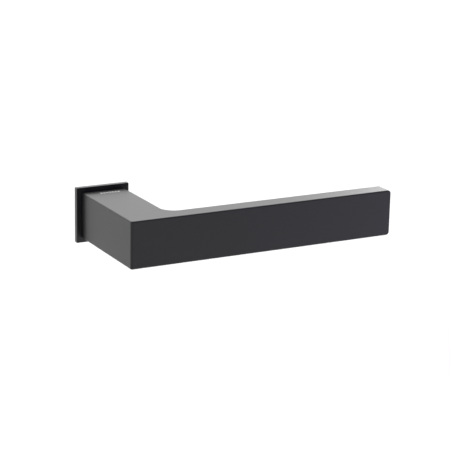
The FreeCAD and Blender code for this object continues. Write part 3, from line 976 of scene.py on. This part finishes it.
@dataclass
class EtchedMark:
    """Row of plain dashes etched on top of the neck by the rose; sizes in millimetres."""

    count: int = 7
    dash_length: float = 1.1
    dash_width: float = 2.0
    pitch: float = 1.65
    proud: float = 0.01
    distance: float = 8.6
    middle: float = 1.6
    body: str = "lever"

    def dress(self, paints: Paintbox) -> None:
        """Build the dashes and tie them to the lever.

        Args:
            paints: Gives the etched finish.
        """
        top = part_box("lever_handle")[1].z
        sizes = {
            "Dash length": self.dash_length * MM,
            "Dash width": self.dash_width * MM,
            "Pitch": self.pitch * MM,
        }
        tool = NodeTool("etched_dashes", sizes)
        box = add_node(
            tool.tree,
            "ShaderNodeCombineXYZ",
            {"Z": 2 * self.proud * MM},
            {"X": tool.size("Dash length"), "Y": tool.size("Dash width")},
        )
        dash = add_node(tool.tree, "GeometryNodeMeshCube", links={"Size": box.outputs[0]})
        step = add_node(tool.tree, "ShaderNodeCombineXYZ", links={"X": tool.size("Pitch")})
        first = self.middle - self.pitch * (self.count - 1) / 2
        row = add_node(
            tool.tree,
            "GeometryNodeMeshLine",
            {"Count": self.count, "Start Location": (first * MM, -self.distance * MM, top)},
            {"Offset": step.outputs[0]},
        )
        copies = add_node(
            tool.tree,
            "GeometryNodeInstanceOnPoints",
            links={"Points": row.outputs[0], "Instance": dash.outputs[0]},
        )
        dashes = tool.finish(copies.outputs[0], paints.get(LASER_ETCH))
        settle(dashes, self.body, LASER_ETCH)


@dataclass
class Mechanism:
    """Every piece that keeps its shape from the frame and only gets its finish."""

    rebuilt: tuple[str, ...] = ("lever_handle", "rose_cover", "mounting_screws")

    def dress(self, paints: Paintbox) -> None:
        """Give each kept piece the finish of its slot.

        Args:
            paints: Gives the finishes.
        """
        by_slot = {finish.slot.value: finish for finish in FINISHES}
        for row in frame["record"]["subparts"]:
            node = row["node"]
            if node in self.rebuilt:
                continue
            finish = by_slot[row["material_slot"]]
            paints.dress(frame["nodes"][node], finish)
            LOG.info("%s: %s", node, finish.name)


# ---------------------------------------------------------------- studio


@dataclass(frozen=True)
class Softbox:
    """One rectangular studio light, in metres and watts."""

    name: str
    place: tuple[float, float, float]
    target: tuple[float, float, float]
    width: float
    height: float
    power: float
    colour: str = "#FFFFFF"

    def build(self) -> None:
        """Add the light, aimed at its target."""
        lamp = bpy.data.lights.new(self.name, "AREA")
        lamp.color = linear(self.colour)[:3]
        lamp.shape = "RECTANGLE"
        lamp.size = self.width
        lamp.size_y = self.height
        lamp.energy = self.power
        light = bpy.data.objects.new(self.name, lamp)
        light.location = self.place
        aim = Vector(self.target) - Vector(self.place)
        light.rotation_euler = aim.to_track_quat("-Z", "Y").to_euler()
        light.visible_camera = False
        bpy.context.scene.collection.objects.link(light)


@dataclass
class Camera:
    """Long lens from the front left and above; metres and degrees."""

    place: tuple[float, float, float] = (-0.34269, -0.77542, 0.23582)
    yaw: float = 28.333
    pitch: float = 15.972
    roll: float = 1.2
    focal_length: float = 131.75
    sensor: float = 36.0

    def build(self) -> None:
        """Add the camera and make it the scene's."""
        lens = bpy.data.cameras.new("camera")
        lens.sensor_width = self.sensor
        lens.lens = self.focal_length
        yaw, pitch, roll = (math.radians(angle) for angle in (self.yaw, self.pitch, self.roll))
        ahead = Vector((math.sin(yaw) * math.cos(pitch), math.cos(yaw) * math.cos(pitch), -math.sin(pitch)))
        right = Vector((math.cos(yaw), -math.sin(yaw), 0))
        up = right.cross(ahead)
        across = math.cos(roll) * right + math.sin(roll) * up
        upward = math.cos(roll) * up - math.sin(roll) * right
        turn = Matrix((across, upward, -ahead)).transposed()
        camera = bpy.data.objects.new("camera", lens)
        camera.matrix_world = Matrix.Translation(self.place) @ turn.to_4x4()
        bpy.context.scene.collection.objects.link(camera)
        bpy.context.scene.camera = camera


@dataclass
class Studio:
    """White floor and surround, bright behind the object and dim behind the camera; metres."""

    floor_drop: float = 0.45
    floor_half: float = 8.0
    floor_colour: str = "#EDEDEB"
    floor_roughness: float = 0.9
    back_colour: str = "#FFFFFF"
    back_strength: float = 1.08
    front_colour: str = "#E6E2FF"
    front_strength: float = 0.22
    turn_from: float = -0.55
    turn_to: float = 0.45
    softboxes: tuple[Softbox, ...] = (
        Softbox("back_softbox", (1.2, 3.2, 1.9), (1.2, 3.2, -0.45), 6.0, 5.0, 130.0),
        Softbox("tip_softbox", (0.72, 0.465, 0.23), (0.14, -0.06, 0.0), 0.4, 0.4, 1.6),
        Softbox("front_softbox", (0.92, -0.51, -0.1), (0.14, -0.06, 0.0), 0.5, 0.6, 2.4, "#DAD0FF"),
    )

    def _floor(self) -> None:
        """Lay the floor: matt white board."""
        half = self.floor_half
        corners = [(-half, -half), (half, -half), (half, half), (-half, half)]
        shape = bmesh.new()
        shape.faces.new([shape.verts.new((x, y, -self.floor_drop)) for x, y in corners])
        floor = mesh_object("studio_floor", shape)
        board = bpy.data.materials.new("matt_white_board")
        board.use_nodes = True
        surface = board.node_tree.nodes["Principled BSDF"]
        surface.inputs["Base Color"].default_value = linear(self.floor_colour)
        surface.inputs["Roughness"].default_value = self.floor_roughness
        surface.inputs["Specular IOR Level"].default_value = 0.0
        floor.data.materials.append(board)

    def _world(self) -> None:
        """Surround the set with soft light that fades from behind the object to behind the camera."""
        world = bpy.data.worlds.new("studio_surround")
        world.use_nodes = True
        tree = world.node_tree
        tree.nodes.clear()
        way = add_node(tree, "ShaderNodeTexCoord")
        parts = add_node(tree, "ShaderNodeSeparateXYZ", links={0: way.outputs["Generated"]})
        limits = {"interpolation_type": "SMOOTHSTEP", "From Min": self.turn_from, "From Max": self.turn_to}
        share = add_node(tree, "ShaderNodeMapRange", limits, {"Value": parts.outputs["Y"]})
        ends = []
        for colour, strength in (
            (self.front_colour, self.front_strength),
            (self.back_colour, self.back_strength),
        ):
            ends.append([channel * strength for channel in linear(colour)])
        tone = add_node(
            tree, "ShaderNodeMix", {"data_type": "RGBA", 6: ends[0], 7: ends[1]}, {0: share.outputs[0]}
        )
        light = add_node(tree, "ShaderNodeBackground", links={"Color": tone.outputs[2]})
        add_node(tree, "ShaderNodeOutputWorld", links={"Surface": light.outputs[0]})
        bpy.context.scene.world = world

    def build(self) -> None:
        """Set the studio up around the object."""
        self._floor()
        self._world()
        for softbox in self.softboxes:
            softbox.build()
        Camera().build()
        bpy.context.scene.view_settings.view_transform = "Standard"


def main() -> None:
    """Build every sub-assembly in order, then the studio."""
    logging.basicConfig(level=logging.INFO, format="%(name)s: %(message)s")
    paints = Paintbox()
    Studio().build()
    for assembly in (LeverHandle(), RoseCover(), FixingScrews(), EtchedMark(), Mechanism()):
        assembly.dress(paints)


if __name__ == "__main__":
    main()
